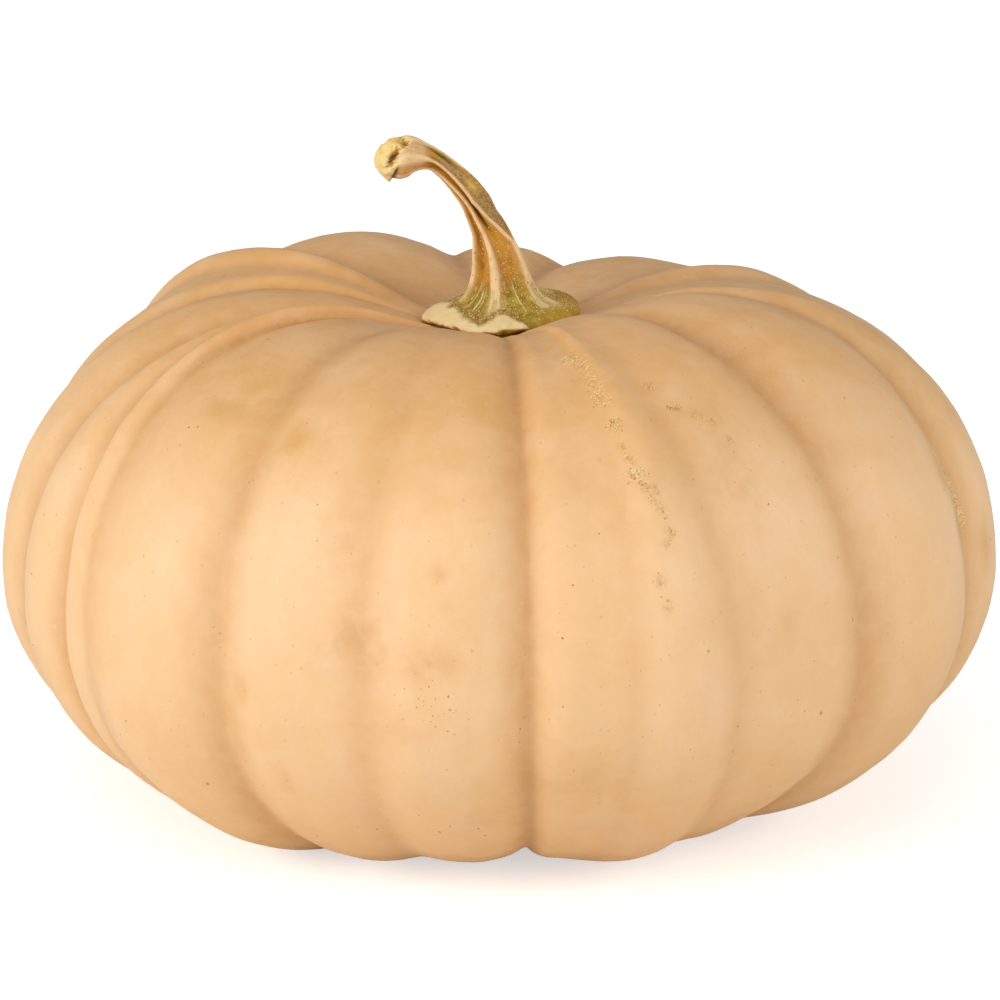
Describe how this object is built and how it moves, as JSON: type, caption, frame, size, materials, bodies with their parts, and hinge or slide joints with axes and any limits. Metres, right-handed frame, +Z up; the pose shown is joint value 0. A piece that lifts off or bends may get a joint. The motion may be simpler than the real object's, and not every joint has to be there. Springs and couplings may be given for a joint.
{
  "type": "pumpkin",
  "caption": "Whole ripe pumpkin, flattened and ribbed, with smooth tan skin and a dry arched stem; stands upright on its base.",
  "frame": {"origin": "on the surface that the fruit stands on, under the middle of its outline", "axes": "+Z up along the fruit's axis, -Y towards the side that the picture shows, the stem's cut end towards -X"},
  "size_m": [0.3011, 0.2954, 0.2031],
  "materials": {
    "skin": "satin",
    "stem": "matte"
  },
  "bodies": {
    "root": {"fruit": "skin", "stem": "stem"}
  },
  "joints": []
}
